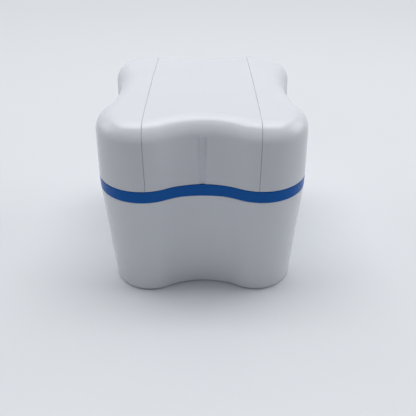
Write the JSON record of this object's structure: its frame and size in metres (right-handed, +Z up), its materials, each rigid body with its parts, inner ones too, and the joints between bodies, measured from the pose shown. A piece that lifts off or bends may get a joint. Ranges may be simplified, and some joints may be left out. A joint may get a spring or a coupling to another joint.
{
  "type": "denture case",
  "caption": "White four-lobed denture bath case with a flush royal-blue collar, a hinged lid crossed by a saddle panel, and a blue drain basket inside",
  "frame": {"origin": "centre of the footprint on the surface that the case stands on", "axes": "+Z up; the catch and thumb groove face -Y, the hinge is at +Y, +X is to the right as seen from the front"},
  "size_m": [0.085, 0.0963, 0.0802],
  "materials": {
    "white_plastic": "glossy",
    "blue_plastic": "glossy",
    "silicone": "satin",
    "steel": "brushed"
  },
  "bodies": {
    "base": {"base_shell": "white_plastic", "collar_ring": "blue_plastic", "hinge_pin": "steel"},
    "lid": {"lid_shell": "white_plastic", "lid_saddle": "white_plastic", "lid_seal": "silicone", "lid_catch": "white_plastic"},
    "basket": {"basket": "blue_plastic"}
  },
  "joints": [
    {"name": "lid_hinge", "type": "hinge", "parent": "base", "child": "lid", "pos_m": [0, 0.0469, 0.05], "axis": [-1, 0, 0], "range_deg": [0, 110]},
    {"name": "basket_lift", "type": "slide", "parent": "base", "child": "basket", "axis": [0, 0, 1], "range_m": [0, 0.014]}
  ]
}
